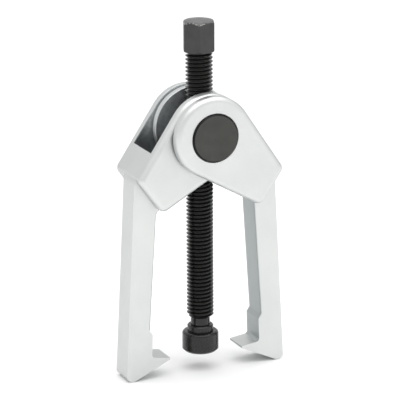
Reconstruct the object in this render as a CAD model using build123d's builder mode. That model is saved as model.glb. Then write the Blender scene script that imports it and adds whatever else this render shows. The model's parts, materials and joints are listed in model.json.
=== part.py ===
from build123d import *
import math
import os

# Two-arm forged gear puller. Millimetres, +Z up. Z runs along the forcing screw,
# Y along the cross pin, and the arms swing in the XZ plane. Z = 0 is the lowest
# line of the two feet, directly below the screw axis.

INCH = 25.4

# ---- cross pin (threaded trunnion) --------------------------------------------
PIN_DIAMETER = 28.2
PIN_PROUD = 1.0                   # how far each end stands out of the outer ear
PIN_CHAMFER = 0.8

# ---- forcing screw, 5/8-11 UNC, right hand ------------------------------------
THREAD_DIAMETER = 0.625 * INCH
THREAD_PITCH = INCH / 11
THREAD_DEPTH = 0.6134 * THREAD_PITCH
THREAD_CREST = THREAD_PITCH / 8
THREAD_FLANK_ANGLE = 30
THREAD_CLEARANCE = 0.3            # radial gap between the thread crests and the hole in the pin
SCREW_TOP = 64.3                  # above the pin axis, in the rest position
THREAD_BOTTOM = -113.4            # below the pin axis, in the rest position
HEX_ACROSS_FLATS = 0.6875 * INCH
HEX_HEIGHT = 18.0
HEX_TURN = 8.5                    # rotation of the hexagon about the screw axis
HEX_TOP_FLAT_RADIUS = 8.1
HEX_BOTTOM_FLAT_RADIUS = 8.9
HEX_CORNER_RADIUS = 1.0
THREAD_RUNOUT = 1.6               # cone that ends the thread under the hexagon
TAIL_RADIUS = 5.7
TAIL_LENGTH = 15.0
TAIL_EDGE = 0.4

# ---- swivel pressure pad, thrust ball and retaining ring ----------------------
PAD_DIAMETER = 21.4
PAD_BOTTOM = -134.4
PAD_SHOULDER = -124.0
PAD_COLLAR_DIAMETER = 15.3
PAD_COLLAR_TOP = -118.5
PAD_EDGE = 1.3
PAD_SHOULDER_RADIUS = 1.7
COLLAR_EDGE = 0.5
BALL_DIAMETER = 0.25 * INCH
BALL_CENTRE = -128.3
PAD_BORE_END_GAP = 0.2
TAIL_CLEARANCE = 0.08             # radial running fit of the tail in the pad
BALL_CLEARANCE = 0.05
RING_HEIGHT = -121.2
RING_WIRE_RADIUS = 0.6
RING_GAP_ANGLE = 40
RING_CLEARANCE = 0.08

# ---- arms ---------------------------------------------------------------------
REST_SPREAD = 3.0                 # outward swing of each arm at rest, degrees
EAR_RADIUS = 0.9375 * INCH        # rounded nose of each ear about the pin
EAR_THICKNESS = 6.3
SCREW_GAP = 17.0                  # free width between the inner pair of ears
FACE_GAP = 1.5                    # side play between neighbouring ears
BORE_CLEARANCE = 0.05             # radial running fit of the ears on the pin
HEAD_CORNER_RADIUS = 4.3
HEAD_TOP_ANGLE = 31.0             # outward normal of the upper flank of the head
HEAD_LOW_ANGLE = -122.5           # outward normal of the lower flank
HEAD_END_ANGLE = -38.5            # outward normal of the shoulder face
HEAD_REACH = 49.4                 # pin axis to the shoulder face
SLOT_REACH = 32.6                 # pin axis to the floor of the clevis slot
HEAD_EDGE_RADIUS = 3.0
SLOT_EDGE_RADIUS = 0.5
LEG_WIDTH = 16.6                  # along Y
LEG_OUTER = 43.1                  # pin axis to the outer face, arm upright
LEG_INSET = 0.6                   # how far the root of the leg is sunk inside the head
LEG_INNER_TOP = 28.6
LEG_INNER_LOW = 29.6
LEG_FRONT_RADIUS = 0.8            # outer edge of the leg on the side of the outermost ear
LEG_REAR_RADIUS = 3.0             # outer edge of the leg on the other side
LEG_INNER_EDGE = 0.9
STEP_TOP = -117.4                 # small step in the inner face above the claw
STEP_BOTTOM = -119.6
STEP_FACE = 27.9
CLAW_ROOT = (27.6, -133.6)
CLAW_TIP = (16.1, -134.7)
CLAW_TIP_THICKNESS = 1.1
UNDERSIDE_ANGLE = 27.6            # slope of the underside, claw tip to heel
HEEL_RADIUS = 3.8
SHOULDER_BLEND = 6.0              # leg outer face into the upper flank
CLAW_ROOT_RADIUS = 2.0
BORE_CHAMFER = 0.4
CROTCH_RADIUS = 5.0               # leg inner face into the lower flank


def polar(radius, degrees):
    """Point at a radius and an angle in the sketch plane."""
    return (radius * math.cos(math.radians(degrees)), radius * math.sin(math.radians(degrees)))


def meet(angle_a, reach_a, angle_b, reach_b):
    """Point where two lines cross, each given by its normal angle and its reach."""
    ax, az = polar(1, angle_a)
    bx, bz = polar(1, angle_b)
    det = ax * bz - az * bx
    return ((reach_a * bz - reach_b * az) / det, (ax * reach_b - bx * reach_a) / det)


def thread_outline(bottom, top):
    """Half section of parallel grooves with the thread's form and pitch, as (radius, height) points."""
    crest_radius = THREAD_DIAMETER / 2
    core_radius = crest_radius - THREAD_DEPTH
    flank = THREAD_DEPTH * math.tan(math.radians(THREAD_FLANK_ANGLE))
    root_flat = THREAD_PITCH - THREAD_CREST - 2 * flank
    points = []
    for turn in range(math.ceil((top - bottom) / THREAD_PITCH)):
        start = bottom + turn * THREAD_PITCH
        points.append((core_radius, start))
        points.append((core_radius, start + root_flat))
        points.append((crest_radius, start + root_flat + flank))
        points.append((crest_radius, start + root_flat + flank + THREAD_CREST))
    inside = [(radius, height) for radius, height in points if height < top - THREAD_RUNOUT]
    return [(min(radius, core_radius + height - bottom), height) for radius, height in inside]


# ---- one arm, drawn upright with the pin axis at the origin -------------------
slot_back = SCREW_GAP / 2
slot_front = slot_back + EAR_THICKNESS + FACE_GAP
head_back = slot_back + EAR_THICKNESS
head_front = slot_front + EAR_THICKNESS
corner_reach = EAR_RADIUS - HEAD_CORNER_RADIUS
end_reach = HEAD_REACH - HEAD_CORNER_RADIUS
outer_corner = meet(HEAD_TOP_ANGLE, corner_reach, HEAD_END_ANGLE, end_reach)
lower_corner = meet(HEAD_LOW_ANGLE, corner_reach, HEAD_END_ANGLE, end_reach)

with BuildPart() as head:
    with BuildSketch(Plane.XZ.offset(-head_back)):
        Circle(EAR_RADIUS)
        with Locations(outer_corner, lower_corner):
            Circle(HEAD_CORNER_RADIUS)
        make_hull()
    extrude(amount=head_back + head_front)
    fillet(head.faces().filter_by(Axis.Y).edges(), radius=HEAD_EDGE_RADIUS)

inset_reach = EAR_RADIUS - LEG_INSET
shoulder = meet(HEAD_TOP_ANGLE, inset_reach, 0, LEG_OUTER)
crotch = meet(HEAD_LOW_ANGLE, inset_reach, 0, LEG_INNER_TOP)
root_outer = meet(HEAD_TOP_ANGLE, inset_reach, HEAD_END_ANGLE, SLOT_REACH + LEG_INSET)
root_inner = meet(HEAD_LOW_ANGLE, inset_reach, HEAD_END_ANGLE, SLOT_REACH + LEG_INSET)
tip_low = (CLAW_TIP[0], CLAW_TIP[1] - CLAW_TIP_THICKNESS)
underside_normal = -90 - UNDERSIDE_ANGLE
underside_x, underside_z = polar(1, underside_normal)
underside_reach = tip_low[0] * underside_x + tip_low[1] * underside_z
heel = meet(0, LEG_OUTER, underside_normal, underside_reach)
heel_centre = meet(0, LEG_OUTER - HEEL_RADIUS, underside_normal, underside_reach - HEEL_RADIUS)

with BuildPart() as leg:
    with BuildSketch(Plane.XZ.offset(-LEG_WIDTH / 2)) as leg_outline:
        with BuildLine():
            Polyline(
                root_inner,
                root_outer,
                shoulder,
                heel,
                tip_low,
                CLAW_TIP,
                CLAW_ROOT,
                (STEP_FACE, STEP_BOTTOM),
                (LEG_INNER_LOW, STEP_TOP),
                crotch,
                close=True,
            )
        make_face()
        fillet(leg_outline.vertices().sort_by_distance((*shoulder, 0))[0], radius=SHOULDER_BLEND)
        fillet(leg_outline.vertices().sort_by_distance((*crotch, 0))[0], radius=CROTCH_RADIUS)
        fillet(leg_outline.vertices().sort_by_distance((*heel, 0))[0], radius=HEEL_RADIUS)
        fillet(leg_outline.vertices().sort_by_distance((*CLAW_ROOT, 0))[0], radius=CLAW_ROOT_RADIUS)
    extrude(amount=LEG_WIDTH)
    with BuildSketch(Plane.XY) as leg_section:
        with Locations((LEG_OUTER / 2, 0)):
            Rectangle(LEG_OUTER, LEG_WIDTH)
        outer_corners = leg_section.vertices().group_by(Axis.X)[-1].sort_by(Axis.Y)
        fillet(outer_corners[0], radius=LEG_FRONT_RADIUS)
        fillet(outer_corners[1], radius=LEG_REAR_RADIUS)
    extrude(amount=-heel[1], both=True, mode=Mode.INTERSECT)
    inner_face = leg.faces().filter_by(GeomType.PLANE).sort_by_distance(
        ((LEG_INNER_TOP + LEG_INNER_LOW) / 2, 0, (crotch[1] + STEP_TOP) / 2)
    )[0]
    fillet(inner_face.edges().filter_by_position(Axis.X, LEG_INNER_TOP, LEG_INNER_LOW).filter_by(
        lambda edge: edge.length > EAR_RADIUS
    ), radius=LEG_INNER_EDGE)

slot_depth = SLOT_REACH + 2 * EAR_RADIUS
slot_x, slot_z = polar(SLOT_REACH, HEAD_END_ANGLE)
back_x, back_z = polar(-1, HEAD_END_ANGLE)
slot_floor = Plane(
    origin=(slot_x, (slot_back - slot_front) / 2, slot_z), x_dir=(0, 1, 0), z_dir=(back_x, 0, back_z)
)
bore_radius = PIN_DIAMETER / 2 + BORE_CLEARANCE

with BuildPart() as arm:
    add(head.part)
    add(leg.part)
    with BuildSketch(slot_floor):
        Rectangle(slot_front + slot_back, 3 * HEAD_REACH)
    extrude(amount=slot_depth, mode=Mode.SUBTRACT)
    nose_edges = arm.edges().filter_by(
        lambda edge: min(abs(edge.center().Y + slot_front), abs(edge.center().Y - slot_back)) < 0.01
        and (edge @ 0.5 - slot_floor.origin).dot(slot_floor.z_dir) > 1
    )
    fillet(nose_edges, radius=SLOT_EDGE_RADIUS)
    with BuildSketch(Plane.XZ.offset(-head_back)):
        Circle(bore_radius)
    extrude(amount=head_back + head_front, mode=Mode.SUBTRACT)
    bore_rims = arm.edges().filter_by(GeomType.CIRCLE).filter_by(
        lambda edge: abs(edge.radius - bore_radius) < 0.01
    )
    chamfer(bore_rims, length=BORE_CHAMFER)

# ---- both arms in place: the left one is the same forging turned end for end --
spread = math.radians(REST_SPREAD)
heel_drop = heel_centre[0] * math.sin(spread) + heel_centre[1] * math.cos(spread) - HEEL_RADIUS
PIN_HEIGHT = -heel_drop

with BuildPart() as right_arm:
    with Locations((0, 0, PIN_HEIGHT)):
        add(arm.part, rotation=(0, -REST_SPREAD, 0))

with BuildPart() as left_arm:
    add(right_arm.part, rotation=(0, 0, 180))

# ---- cross pin with the cross hole that carries the screw ---------------------
pin_length = 2 * (head_front + PIN_PROUD)
pin_end = Plane(origin=(0, pin_length / 2, PIN_HEIGHT), x_dir=(1, 0, 0), z_dir=(0, -1, 0))

with BuildPart() as cross_pin:
    with BuildSketch(pin_end):
        Circle(PIN_DIAMETER / 2)
    extrude(amount=pin_length)
    chamfer(cross_pin.edges().filter_by(GeomType.CIRCLE), length=PIN_CHAMFER)
    with BuildSketch(Plane.XY.offset(PIN_HEIGHT)):
        Circle(THREAD_DIAMETER / 2 + THREAD_CLEARANCE)
    extrude(amount=PIN_DIAMETER, both=True, mode=Mode.SUBTRACT)

# ---- forcing screw ------------------------------------------------------------
thread_bottom = PIN_HEIGHT + THREAD_BOTTOM
thread_top = PIN_HEIGHT + SCREW_TOP - HEX_HEIGHT
root_radius = THREAD_DIAMETER / 2 - THREAD_DEPTH
tail_end = thread_bottom - TAIL_LENGTH
ball_height = PIN_HEIGHT + BALL_CENTRE
ring_height = PIN_HEIGHT + RING_HEIGHT
seat_radius = BALL_DIAMETER / 2 + BALL_CLEARANCE

with BuildPart() as hexagon:
    with BuildSketch(Plane.XY.offset(thread_top)) as hex_outline:
        RegularPolygon(HEX_ACROSS_FLATS / 2, 6, major_radius=False, rotation=HEX_TURN)
        fillet(hex_outline.vertices(), radius=HEX_CORNER_RADIUS)
    extrude(amount=HEX_HEIGHT)
    hex_top = thread_top + HEX_HEIGHT
    top_bevel = (HEX_ACROSS_FLATS - HEX_TOP_FLAT_RADIUS) * math.tan(math.radians(30))
    bottom_bevel = HEX_ACROSS_FLATS - HEX_BOTTOM_FLAT_RADIUS
    with BuildSketch(Plane.XZ):
        with BuildLine():
            Polyline(
                (0, thread_top),
                (HEX_BOTTOM_FLAT_RADIUS, thread_top),
                (HEX_ACROSS_FLATS, thread_top + bottom_bevel),
                (HEX_ACROSS_FLATS, hex_top - top_bevel),
                (HEX_TOP_FLAT_RADIUS, hex_top),
                (0, hex_top),
                close=True,
            )
        make_face()
    revolve(axis=Axis.Z, mode=Mode.INTERSECT)

with BuildPart() as forcing_screw:
    with BuildSketch(Plane.XZ):
        with BuildLine():
            Polyline(
                (0, tail_end),
                (TAIL_RADIUS - TAIL_EDGE, tail_end),
                (TAIL_RADIUS, tail_end + TAIL_EDGE),
                (TAIL_RADIUS, thread_bottom),
                *thread_outline(thread_bottom, thread_top),
                (root_radius, thread_top),
                (0, thread_top),
                close=True,
            )
        make_face()
        with Locations((0, ball_height)):
            Circle(seat_radius, mode=Mode.SUBTRACT)
        with Locations((TAIL_RADIUS, ring_height)):
            Circle(RING_WIRE_RADIUS + RING_CLEARANCE, mode=Mode.SUBTRACT)
    revolve(axis=Axis.Z)
    add(hexagon.part)

# ---- swivel pressure pad ------------------------------------------------------
pad_bottom = PIN_HEIGHT + PAD_BOTTOM
pad_shoulder = PIN_HEIGHT + PAD_SHOULDER
collar_top = PIN_HEIGHT + PAD_COLLAR_TOP
pad_radius = PAD_DIAMETER / 2
collar_radius = PAD_COLLAR_DIAMETER / 2
pad_bore_floor = tail_end - PAD_BORE_END_GAP

with BuildPart() as pressure_pad:
    with BuildSketch(Plane.XZ):
        with BuildLine():
            Line((0, collar_top), (0, pad_bottom))
            Line((0, pad_bottom), (pad_radius - PAD_EDGE, pad_bottom))
            Line((pad_radius - PAD_EDGE, pad_bottom), (pad_radius, pad_bottom + PAD_EDGE))
            Line((pad_radius, pad_bottom + PAD_EDGE), (pad_radius, pad_shoulder))
            RadiusArc(
                (pad_radius, pad_shoulder),
                (pad_radius - PAD_SHOULDER_RADIUS, pad_shoulder + PAD_SHOULDER_RADIUS),
                -PAD_SHOULDER_RADIUS,
            )
            Polyline(
                (pad_radius - PAD_SHOULDER_RADIUS, pad_shoulder + PAD_SHOULDER_RADIUS),
                (collar_radius, pad_shoulder + PAD_SHOULDER_RADIUS),
                (collar_radius, collar_top - COLLAR_EDGE),
                (collar_radius - COLLAR_EDGE, collar_top),
                (0, collar_top),
            )
        make_face()
    revolve(axis=Axis.Z)
    with BuildSketch(Plane.XY.offset(collar_top)):
        Circle(TAIL_RADIUS + TAIL_CLEARANCE)
    extrude(amount=pad_bore_floor - collar_top, mode=Mode.SUBTRACT)
    with Locations((0, 0, ball_height)):
        Sphere(seat_radius, mode=Mode.SUBTRACT)
    with BuildSketch(Plane.XZ):
        with Locations((TAIL_RADIUS, ring_height)):
            Circle(RING_WIRE_RADIUS + RING_CLEARANCE)
    revolve(axis=Axis.Z, mode=Mode.SUBTRACT)

# ---- hidden pieces of the swivel joint ----------------------------------------
with BuildPart() as thrust_ball:
    with Locations((0, 0, ball_height)):
        Sphere(BALL_DIAMETER / 2)

with BuildPart() as pad_retaining_ring:
    with BuildSketch(Plane.XZ):
        with Locations((TAIL_RADIUS, ring_height)):
            Circle(RING_WIRE_RADIUS)
    revolve(axis=Axis.Z, revolution_arc=360 - RING_GAP_ANGLE)

# ---- one labelled STEP file for each piece ------------------------------------
os.makedirs("parts", exist_ok=True)

left_arm.part.label = "left_arm"
export_step(left_arm.part, "parts/left_arm.step")

right_arm.part.label = "right_arm"
export_step(right_arm.part, "parts/right_arm.step")

cross_pin.part.label = "cross_pin"
export_step(cross_pin.part, "parts/cross_pin.step")

forcing_screw.part.label = "forcing_screw"
export_step(forcing_screw.part, "parts/forcing_screw.step")

pressure_pad.part.label = "pressure_pad"
export_step(pressure_pad.part, "parts/pressure_pad.step")

thrust_ball.part.label = "thrust_ball"
export_step(thrust_ball.part, "parts/thrust_ball.step")

pad_retaining_ring.part.label = "pad_retaining_ring"
export_step(pad_retaining_ring.part, "parts/pad_retaining_ring.step")

print("pin axis height", PIN_HEIGHT)
print("thread bottom", thread_bottom, "hexagon bottom", thread_top)
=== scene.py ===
import json
import math

import bmesh
import bpy
from mathutils import Matrix, Vector


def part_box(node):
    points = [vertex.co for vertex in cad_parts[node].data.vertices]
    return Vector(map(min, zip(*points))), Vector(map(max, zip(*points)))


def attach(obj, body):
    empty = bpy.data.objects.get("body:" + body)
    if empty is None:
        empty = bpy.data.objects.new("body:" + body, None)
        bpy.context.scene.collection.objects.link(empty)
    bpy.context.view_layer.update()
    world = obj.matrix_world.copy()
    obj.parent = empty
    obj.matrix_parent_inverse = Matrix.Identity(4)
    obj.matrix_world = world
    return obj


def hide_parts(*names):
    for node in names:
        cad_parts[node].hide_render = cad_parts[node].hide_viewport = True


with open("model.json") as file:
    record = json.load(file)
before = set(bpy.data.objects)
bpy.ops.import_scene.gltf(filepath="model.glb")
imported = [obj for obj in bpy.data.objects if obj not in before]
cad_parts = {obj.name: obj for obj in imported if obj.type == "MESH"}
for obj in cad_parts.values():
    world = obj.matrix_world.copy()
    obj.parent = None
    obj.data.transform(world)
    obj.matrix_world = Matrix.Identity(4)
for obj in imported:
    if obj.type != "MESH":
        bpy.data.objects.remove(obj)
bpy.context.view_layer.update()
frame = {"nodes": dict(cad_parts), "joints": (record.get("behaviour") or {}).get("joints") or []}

# A two-arm gear puller, staged like its photograph: the CAD pieces get their materials, and
# the forcing screw is replaced by one with a true helical thread.

MM = 0.001

# ---- places read from the frame -------------------------------------------------
JOINTS = {joint["name"]: joint for joint in frame["joints"]}
PIN_AXIS = Vector(JOINTS["left_arm_swing"]["pos_m"])
SCREW_LOW, SCREW_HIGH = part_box("forcing_screw")

# ---- forcing screw: 5/8-11 right-hand thread ------------------------------------
THREAD_RADIUS = 7.9375 * MM           # half of 5/8 in
THREAD_PITCH = 25.4 / 11 * MM         # 11 turns to the inch
THREAD_DEPTH = 0.6134 * THREAD_PITCH  # depth of the standard 60 degree form
THREAD_UNDERCUT = 0.2 * MM            # the thread starts and ends this far below its root
THREAD_ENTRY = 1.5 * MM               # length over which it grows at the tail
THREAD_RUNOUT = 1.7 * MM              # length over which it fades under the hexagon
THREAD_TURN = math.radians(307)       # where the helix stands in the photograph
STEPS = 64                            # segments round the thread and the tail

# ---- forcing screw: hexagon -----------------------------------------------------
HEX_FLATS = 17.4625 * MM              # across flats, 11/16 in
HEX_HEIGHT = 18.0 * MM
HEX_TURN = math.radians(8.5)
HEX_CORNER_RADIUS = 1.0 * MM
HEX_TOP_RADIUS = 8.1 * MM             # flat circle inside the top bevel
HEX_BOTTOM_RADIUS = 8.9 * MM          # flat circle inside the bottom bevel
HEX_BEVEL = math.radians(30)          # slope of the top bevel
HEX_SOFTEN = 0.4 * MM                 # small extra bevel between the flats and the top bevel
CROWN_EDGE = 0.2 * MM                 # width of the soft edge of the top circle
CROWN_DROP = 0.03 * MM                # depth of that edge
CROWN_CENTRE = 0.5 * MM               # radius of the face that closes the top
HEX_STEPS = 360                       # segments round the hexagon

# ---- forcing screw: plain tail --------------------------------------------------
TAIL_RADIUS = 5.7 * MM
TAIL_LENGTH = 15.0 * MM
TAIL_EDGE = 0.4 * MM                  # chamfer of its lower end
TAIL_FLARE = 0.3 * MM                 # flare where it meets the thread

# ---- meshes ---------------------------------------------------------------------
MERGE_DISTANCE = 1e-7                 # points nearer than this are one point
SMOOTH_BELOW = math.radians(30)       # edges sharper than this stay crisp
HEX_SMOOTH_BELOW = math.radians(24)   # the same for the hexagon

# ---- cross pin and arms ---------------------------------------------------------
TURNING_PITCH = 0.35 * MM             # between the lathe marks on the pin's ends
SLOT_REACH = 32.6 * MM                # from the pin's axis to the floor of a head's slot
SLOT_SLOPE = math.radians(35.5)       # how steeply a head runs outward and down at rest
SLOT_WALL = 8.5 * MM                  # from the screw's axis to the slot's nearer wall
PALE_REACH = 14 * MM                  # the painted shade on the slot's walls is pale up to here
DARK_REACH = 29 * MM                  # and dark from here to the floor

# ---- studio, in metres and watts ------------------------------------------------
FLOOR_SIDE = 8
FLOOR_DROP = 0.2 * MM                 # gap between the feet and the floor
KEY_PLACE = (0.9, -0.9, 0.75)
KEY_AIM = (0, 0, 0.11)
KEY_SIDE = 0.8
KEY_POWER = 1.2
TOP_PLACE = (0.1, -0.3, 1.7)
TOP_AIM = (0.1, -0.3, 0)
TOP_SIDE = 2.2
TOP_POWER = 25
WORLD_BACK = 0.93                     # brightness of the surroundings behind on the left
WORLD_FRONT = 0.80                    # and in front on the right
WORLD_FADE = 0.9                      # cosine to FRONT_RIGHT, minus and plus, that reaches them
FRONT_RIGHT = Vector((0.55, -0.80, 0.25)).normalized()

# ---- camera ---------------------------------------------------------------------
CAMERA_AZIMUTH = math.radians(24.19)
CAMERA_ELEVATION = math.radians(16.29)
CAMERA_ROLL = math.radians(-0.3)
CAMERA_DISTANCE = 1.4516
CAMERA_AIM = Vector((-4.5, -10.5, -39.2)) * MM  # from the pin's axis to the middle of the picture
CAMERA_LENS = 226.4                   # focal length and sensor width, as Blender takes them in mm
CAMERA_SENSOR = 36
CAMERA_CLIP_END = 20


# ---- materials ------------------------------------------------------------------
def grey(level):
    """A grey colour."""
    return (level, level, level)


class Shader:
    """A small wrapper that adds nodes and links to one material."""

    # a Mix node repeats its sockets for each kind of value: these are the ones for colours
    MIX_FACTOR = 0
    MIX_A = 6
    MIX_B = 7
    MIX_RESULT = 2

    def __init__(self, name):
        self.material = bpy.data.materials.new(name)
        self.material.use_nodes = True
        self.tree = self.material.node_tree
        self.bsdf = self.tree.nodes["Principled BSDF"]
        places = self.node("ShaderNodeTexCoord")
        self.coords = places.outputs["Object"]
        self.normals = places.outputs["Normal"]

    def node(self, kind, operation=None, **inputs):
        """A new node; an input's name has _ for each space."""
        made = self.tree.nodes.new(kind)
        if operation:
            made.operation = operation
        for name, value in inputs.items():
            self.put(made, name.replace("_", " "), value)
        return made

    def put(self, target, name, value):
        """Links an input to a socket, or sets it to a number, a vector or a colour."""
        socket = target.inputs[name]
        if isinstance(value, bpy.types.NodeSocket):
            self.tree.links.new(value, socket)
        elif socket.type == "RGBA":
            socket.default_value = (*value, 1)
        else:
            socket.default_value = value

    def set(self, **values):
        """Puts values on the material's own shader."""
        for name, value in values.items():
            self.put(self.bsdf, name.replace("_", " "), value)

    def calc(self, operation, first, second=0.0):
        """Arithmetic on one or two numbers."""
        made = self.node("ShaderNodeMath", operation)
        self.put(made, 0, first)
        self.put(made, 1, second)
        return made.outputs["Value"]

    def times(self, first, second):
        """Product of two numbers."""
        return self.calc("MULTIPLY", first, second)

    def vector_calc(self, operation, first, second=(0, 0, 0)):
        """The node that does arithmetic on one or two vectors."""
        made = self.node("ShaderNodeVectorMath", operation)
        self.put(made, 0, first)
        self.put(made, 1, second)
        return made

    def place(self, axis):
        """One coordinate of the point on the surface."""
        return self.node("ShaderNodeSeparateXYZ", Vector=self.coords).outputs[axis]

    def facing(self, axis):
        """One coordinate of the surface's normal."""
        return self.node("ShaderNodeSeparateXYZ", Vector=self.normals).outputs[axis]

    def outward(self, axis):
        """Place times normal along one axis, below 0 where the surface looks to the middle."""
        return self.times(self.facing(axis), self.place(axis))

    def from_pin(self):
        """Distance to the axis of the cross pin."""
        offset = self.vector_calc("SUBTRACT", self.coords, PIN_AXIS)
        across = self.vector_calc("MULTIPLY", offset.outputs["Vector"], (1, 0, 1))
        return self.vector_calc("LENGTH", across.outputs["Vector"]).outputs["Value"]

    def window(self, value, start, end, low=0.0, high=1.0):
        """Low up to start, then evenly to high at end, and high beyond."""
        made = self.node(
            "ShaderNodeMapRange", Value=value, From_Min=start, From_Max=end, To_Min=low, To_Max=high
        )
        return made.outputs["Result"]

    def between(self, value, low, high):
        """A value that runs from 0 to 1, stretched to run from low to high."""
        return self.window(value, 0.0, 1.0, low, high)

    def noise(self, scale, detail, roughness=0.5):
        """Noise from about 0 to 1, with about scale lumps to the metre."""
        made = self.node(
            "ShaderNodeTexNoise", Scale=scale, Detail=detail, Roughness=roughness, Vector=self.coords
        )
        return made.outputs["Fac"]

    def grain(self):
        """The fine grain that the small steel parts share."""
        return self.noise(scale=900, detail=3, roughness=0.6)

    def ramp(self, value, dark, light, start=0.3, end=0.7):
        """The dark colour up to start, the light one from end, and a blend in between."""
        made = self.node("ShaderNodeValToRGB", Fac=value)
        stops = ((start, dark), (end, light))
        for element, (position, colour) in zip(made.color_ramp.elements, stops):
            element.position = position
            element.color = (*colour, 1)
        return made.outputs["Color"]

    def blotches(self, dark, light):
        """Soft blotches between two colours."""
        return self.ramp(self.noise(scale=160, detail=4), dark, light, end=0.75)

    def mix(self, factor, first, second):
        """The first colour where the factor is 0, the second where it is 1."""
        made = self.node("ShaderNodeMix")
        made.data_type = "RGBA"
        self.put(made, self.MIX_FACTOR, factor)
        self.put(made, self.MIX_A, first)
        self.put(made, self.MIX_B, second)
        return made.outputs[self.MIX_RESULT]

    def bump(self, height, distance, strength, under=None):
        """A bumped normal, on top of another one if under is given."""
        made = self.node("ShaderNodeBump", Height=height, Distance=distance, Strength=strength)
        if under:
            self.put(made, "Normal", under)
        return made.outputs["Normal"]


def slot_reach(shader):
    """Distance from the pin along an arm's head, outward and down towards the slot's floor."""
    aside = shader.times(shader.calc("ABSOLUTE", shader.place("X")), math.cos(SLOT_SLOPE))
    below_pin = shader.calc("SUBTRACT", PIN_AXIS.z, shader.place("Z"))
    return shader.calc("ADD", aside, shader.times(below_pin, math.sin(SLOT_SLOPE)))


def slot_shade_mask(shader, reach):
    """Where painted shade goes: 1 on the walls and the floor of the slot in an arm's head, 0
    elsewhere.
    """
    walls = shader.window(shader.outward("Y"), start=-3 * MM, end=-8 * MM)
    to_floor = shader.window(reach, start=SLOT_REACH + 0.3 * MM, end=SLOT_REACH + 0.1 * MM)
    aside = shader.calc("ABSOLUTE", shader.place("Y"))
    between_walls = shader.window(aside, start=SLOT_WALL + 1 * MM, end=SLOT_WALL)
    return shader.calc("MAXIMUM", walls, shader.times(to_floor, between_walls))


def plated_steel():
    """Forged steel under satin nickel plate, with painted shade inside the legs and in the heads'
    slots.
    """
    shader = Shader("plated_steel")
    fine = shader.noise(scale=420, detail=4, roughness=0.6)
    broad = shader.noise(scale=38, detail=3)
    plate = shader.ramp(broad, dark=(0.655, 0.668, 0.664), light=(0.702, 0.713, 0.706))
    # painted shade: faces inside the legs, looking towards the middle, get a darker bluish grey
    painted_leg_shade_mask = shader.window(shader.outward("X"), start=-5 * MM, end=-20 * MM)
    plate_and_leg_shade = shader.mix(painted_leg_shade_mask, plate, (0.44, 0.467, 0.467))
    reach = slot_reach(shader)
    # painted shade in the heads' slots: paler near the opening, darkest towards the floor
    light_slot_shade = shader.ramp(fine, dark=(0.50, 0.53, 0.54), light=(0.66, 0.69, 0.70))
    deep_slot_shade = shader.ramp(fine, dark=(0.20, 0.215, 0.22), light=(0.30, 0.32, 0.325))
    slot = shader.mix(shader.window(reach, PALE_REACH, DARK_REACH), light_slot_shade, deep_slot_shade)
    shader.set(Base_Color=shader.mix(slot_shade_mask(shader, reach), plate_and_leg_shade, slot), Metallic=1.0)
    shader.set(Roughness=shader.between(fine, low=0.42, high=0.54))
    shader.set(Specular_Tint=(0.62, 0.63, 0.64))
    waves = shader.bump(shader.noise(scale=130, detail=2), distance=0.12 * MM, strength=0.7)
    shader.set(Normal=shader.bump(fine, distance=0.03 * MM, strength=0.5, under=waves))
    return shader.material


def grained_steel(name, dark, light, roughness, metallic):
    """Steel or black oxide with soft blotches and a fine grain."""
    shader = Shader(name)
    grain = shader.grain()
    shader.set(Base_Color=shader.blotches(dark, light), Metallic=metallic)
    shader.set(Roughness=shader.between(grain, *roughness))
    shader.set(Normal=shader.bump(grain, distance=0.01 * MM, strength=0.25))
    return shader.material


def hexagon_bright_rim():
    """Black oxide hexagon with a greyer crown and bright patches along its upper rim."""
    shader = Shader("black_hexagon")
    upward = shader.facing("Z")
    flats = shader.blotches(dark=grey(0.040), light=grey(0.054))
    crown = shader.ramp(shader.noise(scale=300, detail=4), dark=grey(0.085), light=grey(0.13))
    oxide = shader.mix(shader.window(upward, start=0.55, end=0.8), flats, crown)
    above_flats = shader.window(upward, start=0.12, end=0.3)
    below_crown = shader.window(upward, start=0.84, end=0.7)
    rim = shader.times(above_flats, below_crown)
    # noise patches on the ring between the flats and the top bevel are made light grey
    rim_patches = shader.window(shader.noise(scale=700, detail=3, roughness=0.7), start=0.48, end=0.56)
    shader.set(Base_Color=shader.mix(shader.times(rim, rim_patches), oxide, (0.42, 0.42, 0.40)))
    grain = shader.grain()
    shader.set(Metallic=0.4, Roughness=shader.between(grain, low=0.36, high=0.48))
    shader.set(Normal=shader.bump(grain, distance=0.02 * MM, strength=0.6))
    return shader.material


def turned_pin_and_shade():
    """Black oxide pin: turned end faces, with painted shade making the chamfer and side darker."""
    shader = Shader("black_pin")
    face = shader.blotches(dark=(0.051, 0.052, 0.047), light=(0.063, 0.064, 0.058))
    end = shader.window(shader.calc("ABSOLUTE", shader.facing("Y")), start=0.85, end=0.97)
    # painted shade: away from the end faces, the chamfer and side get grey(0.006)
    shader.set(Base_Color=shader.mix(end, grey(0.006), face), Metallic=0.6)
    grain = shader.grain()
    shader.set(Roughness=shader.between(grain, low=0.42, high=0.52))
    under = shader.bump(grain, distance=0.02 * MM, strength=0.6)
    turns = shader.calc("SINE", shader.times(shader.from_pin(), 2 * math.pi / TURNING_PITCH))
    shader.set(Normal=shader.bump(turns, distance=0.006 * MM, strength=0.5, under=under))
    return shader.material


def pale_floor():
    """Matt, nearly white floor."""
    shader = Shader("pale_floor")
    shader.set(Base_Color=shader.ramp(shader.noise(scale=3, detail=3), grey(0.91), grey(0.93)))
    shader.set(Roughness=0.9, Specular_IOR_Level=0.1)
    return shader.material


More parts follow.
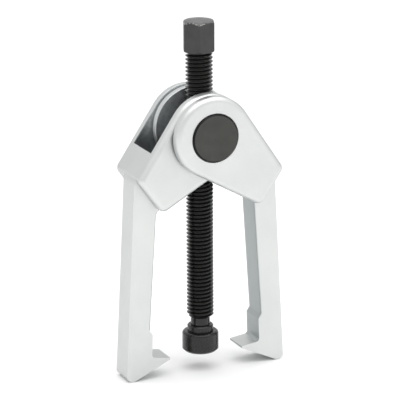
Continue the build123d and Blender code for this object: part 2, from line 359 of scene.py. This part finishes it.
# ---- shapes ---------------------------------------------------------------------
def mesh_object(name, verts, faces, smooth_below=SMOOTH_BELOW):
    """A mesh with its holes closed, smooth across edges that bend less than smooth_below."""
    mesh = bpy.data.meshes.new(name)
    mesh.from_pydata(verts, [], faces)
    work = bmesh.new()
    work.from_mesh(mesh)
    bmesh.ops.remove_doubles(work, verts=work.verts, dist=MERGE_DISTANCE)
    bmesh.ops.dissolve_degenerate(work, edges=work.edges, dist=MERGE_DISTANCE)
    bmesh.ops.holes_fill(work, edges=[edge for edge in work.edges if edge.is_boundary], sides=0)
    bmesh.ops.recalc_face_normals(work, faces=work.faces)
    for face in work.faces:
        face.smooth = True
    for edge in work.edges:
        edge.smooth = len(edge.link_faces) == 2 and edge.calc_face_angle(0) < smooth_below
    work.to_mesh(mesh)
    work.free()
    made = bpy.data.objects.new(name, mesh)
    bpy.context.collection.objects.link(made)
    return made


def lathe(rings, steps=STEPS):
    """Closed surface through rings; each ring is a function of angle giving (radius, height)."""
    verts, faces = [], []
    for ring in rings:
        for step in range(steps):
            angle = 2 * math.pi * step / steps
            radius, height = ring(angle)
            verts.append((radius * math.cos(angle), radius * math.sin(angle), height))
    for row in range(len(rings) - 1):
        below = row * steps
        above = below + steps
        for step in range(steps):
            follow = (step + 1) % steps
            faces.append((below + step, below + follow, above + follow, above + step))
    faces.append(tuple(reversed(range(steps))))
    faces.append(tuple(range((len(rings) - 1) * steps, len(rings) * steps)))
    return verts, faces


def thread_form():
    """One pitch of the thread section as (fraction of the pitch, radius), root first."""
    root = THREAD_RADIUS - THREAD_DEPTH
    return [
        (0.00, root),
        (0.06, root),
        (0.13, root + 0.07 * THREAD_DEPTH),
        (0.42, root + 0.90 * THREAD_DEPTH),
        (0.46, THREAD_RADIUS),
        (0.56, THREAD_RADIUS),
        (0.60, root + 0.90 * THREAD_DEPTH),
        (0.89, root + 0.07 * THREAD_DEPTH),
        (0.95, root),
    ]


def threaded_rod(bottom, top):
    """Helical thread between two heights; mesh_object closes its ends."""
    form = thread_form()
    count = len(form)
    core = THREAD_RADIUS - THREAD_DEPTH - THREAD_UNDERCUT
    rise = THREAD_DEPTH + THREAD_UNDERCUT
    rows = (math.ceil((top - bottom) / THREAD_PITCH) + 2) * count

    def limit(height):
        """Largest radius at a height: the thread grows from its core and fades back into it."""
        growing = core + (height - bottom) * rise / THREAD_ENTRY
        fading = core + (top - height) * rise / THREAD_RUNOUT
        return max(min(growing, fading), core)

    verts, faces = [], []
    for step in range(STEPS):
        turn = 2 * math.pi * step / STEPS + THREAD_TURN
        for row in range(rows):
            share, radius = form[row % count]
            height = bottom + THREAD_PITCH * (row // count - 1 + share + step / STEPS)
            height = min(max(height, bottom), top)
            radius = min(radius, limit(height))
            verts.append((radius * math.cos(turn), radius * math.sin(turn), height))
    for step in range(STEPS):
        follow = (step + 1) % STEPS
        shift = count if follow == 0 else 0
        for row in range(rows - 1 - shift):
            here = step * rows + row
            beside = follow * rows + row + shift
            faces.append((here, beside, beside + 1, here + 1))
    return verts, faces


def hexagon_radius(angle):
    """Distance to the outline of the rounded hexagon at an angle."""
    sixth = math.pi / 3
    from_corner = abs((angle - HEX_TURN + sixth / 2) % sixth - sixth / 2)
    flat = HEX_FLATS / 2
    centre = (flat - HEX_CORNER_RADIUS) / math.cos(sixth / 2)
    touch_along = centre + HEX_CORNER_RADIUS * math.cos(sixth / 2)
    touch_across = HEX_CORNER_RADIUS * math.sin(sixth / 2)
    if from_corner < math.atan2(touch_across, touch_along):
        across = centre * math.sin(from_corner)
        return centre * math.cos(from_corner) + math.sqrt(HEX_CORNER_RADIUS ** 2 - across ** 2)
    return flat / math.cos(sixth / 2 - from_corner)


def hexagon_rings(bottom, top):
    """Rings of the driving hexagon: lower bevel, six flats, top bevel and crown."""
    slope = math.tan(HEX_BEVEL)

    def lower(angle):
        return bottom + max(hexagon_radius(angle) - HEX_BOTTOM_RADIUS, 0)

    def upper(angle):
        return top - (hexagon_radius(angle) - HEX_TOP_RADIUS) * slope

    return [
        lambda angle: (TAIL_RADIUS, bottom),
        lambda angle: (min(hexagon_radius(angle), HEX_BOTTOM_RADIUS), bottom),
        lambda angle: (hexagon_radius(angle), lower(angle)),
        lambda angle: (hexagon_radius(angle), upper(angle) - HEX_SOFTEN),
        lambda angle: (hexagon_radius(angle) - HEX_SOFTEN, upper(angle) + HEX_SOFTEN * slope),
        lambda angle: (HEX_TOP_RADIUS, top - CROWN_DROP),
        lambda angle: (HEX_TOP_RADIUS - CROWN_EDGE, top),
        lambda angle: (CROWN_CENTRE, top),
    ]


def tail_rings(bottom, top):
    """Rings of the plain tail: chamfered end, shaft and flare."""
    return [
        lambda angle: (TAIL_RADIUS - TAIL_EDGE, bottom),
        lambda angle: (TAIL_RADIUS, bottom + TAIL_EDGE),
        lambda angle: (TAIL_RADIUS, top - TAIL_FLARE),
        lambda angle: (TAIL_RADIUS + TAIL_FLARE, top),
    ]


def make_screw(oxide, hexagon_oxide):
    """The forcing screw: helical thread, hexagon and plain tail."""
    thread_top = SCREW_HIGH.z - HEX_HEIGHT
    thread_bottom = SCREW_LOW.z + TAIL_LENGTH
    hexagon_mesh = lathe(hexagon_rings(thread_top, SCREW_HIGH.z), HEX_STEPS)
    thread = mesh_object("screw_thread", *threaded_rod(thread_bottom, thread_top))
    hexagon = mesh_object("screw_hexagon", *hexagon_mesh, HEX_SMOOTH_BELOW)
    tail = mesh_object("screw_tail", *lathe(tail_rings(SCREW_LOW.z, thread_bottom)))
    for piece, material in ((thread, oxide), (hexagon, hexagon_oxide), (tail, oxide)):
        piece.data.materials.append(material)
        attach(piece, "screw")
        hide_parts("forcing_screw")


# ---- stage ----------------------------------------------------------------------
def area_light(name, place, aim, side, power):
    """A square area light that looks from its place to its aim."""
    light = bpy.data.lights.new(name, "AREA")
    light.shape = "SQUARE"
    light.size = side
    light.energy = power
    made = bpy.data.objects.new(name, light)
    made.location = place
    made.rotation_euler = (Vector(aim) - Vector(place)).to_track_quat("-Z", "Y").to_euler()
    bpy.context.collection.objects.link(made)


def make_world():
    """Soft white surroundings, a little dimmer in front on the right."""
    world = bpy.data.worlds.new("studio")
    bpy.context.scene.world = world
    world.use_nodes = True
    tree = world.node_tree
    coords = tree.nodes.new("ShaderNodeTexCoord")
    toward = tree.nodes.new("ShaderNodeVectorMath")
    toward.operation = "DOT_PRODUCT"
    toward.inputs[1].default_value = FRONT_RIGHT
    level = tree.nodes.new("ShaderNodeMapRange")
    level.interpolation_type = "SMOOTHSTEP"
    level.inputs["From Min"].default_value = -WORLD_FADE
    level.inputs["From Max"].default_value = WORLD_FADE
    level.inputs["To Min"].default_value = WORLD_BACK
    level.inputs["To Max"].default_value = WORLD_FRONT
    background = tree.nodes["Background"]
    background.inputs["Color"].default_value = (1, 1, 1, 1)
    tree.links.new(coords.outputs["Generated"], toward.inputs[0])
    tree.links.new(toward.outputs["Value"], level.inputs["Value"])
    tree.links.new(level.outputs["Result"], background.inputs["Strength"])


def make_stage():
    """Pale floor, white surroundings and two soft studio lights."""
    bpy.ops.mesh.primitive_plane_add(size=FLOOR_SIDE, location=(0, 0, -FLOOR_DROP))
    floor = bpy.context.object
    floor.name = "floor"
    floor.data.materials.append(pale_floor())
    make_world()
    area_light("key", KEY_PLACE, KEY_AIM, KEY_SIDE, KEY_POWER)
    area_light("top", TOP_PLACE, TOP_AIM, TOP_SIDE, TOP_POWER)
    bpy.context.scene.view_settings.view_transform = "Standard"


def make_camera():
    """The photograph's viewpoint: in front, to the left and a little above."""
    level = math.cos(CAMERA_ELEVATION)
    look = Vector((
        math.sin(CAMERA_AZIMUTH) * level,
        math.cos(CAMERA_AZIMUTH) * level,
        -math.sin(CAMERA_ELEVATION),
    ))
    upright = look.to_track_quat("-Z", "Y").to_matrix()
    data = bpy.data.cameras.new("camera")
    data.sensor_width = CAMERA_SENSOR
    data.lens = CAMERA_LENS
    data.clip_end = CAMERA_CLIP_END
    camera = bpy.data.objects.new("camera", data)
    camera.location = PIN_AXIS + CAMERA_AIM - look * CAMERA_DISTANCE
    camera.rotation_euler = (upright @ Matrix.Rotation(CAMERA_ROLL, 3, "Z")).to_euler()
    bpy.context.collection.objects.link(camera)
    bpy.context.scene.camera = camera


make_camera()
make_stage()

arm_plate_and_shade = plated_steel()
screw_black = grained_steel(
    "black_screw", dark=grey(0.003), light=(0.007, 0.007, 0.006), roughness=(0.14, 0.22), metallic=0.1
)
pad_black = grained_steel(
    "black_pad", dark=grey(0.004), light=(0.009, 0.009, 0.008), roughness=(0.22, 0.32), metallic=0.1
)
ball_steel = grained_steel(
    "bearing_steel", dark=grey(0.55), light=grey(0.6), roughness=(0.12, 0.2), metallic=1.0
)
ring_steel = grained_steel(
    "spring_steel", dark=grey(0.2), light=grey(0.3), roughness=(0.3, 0.4), metallic=0.9
)

NODE_MATERIALS = {
    "left_arm": arm_plate_and_shade,
    "right_arm": arm_plate_and_shade,
    "cross_pin": turned_pin_and_shade(),
    "pressure_pad": pad_black,
    "thrust_ball": ball_steel,
    "pad_retaining_ring": ring_steel,
}
for node, material in NODE_MATERIALS.items():
    data = frame["nodes"][node].data
    data.materials.clear()
    data.materials.append(material)

make_screw(screw_black, hexagon_bright_rim())
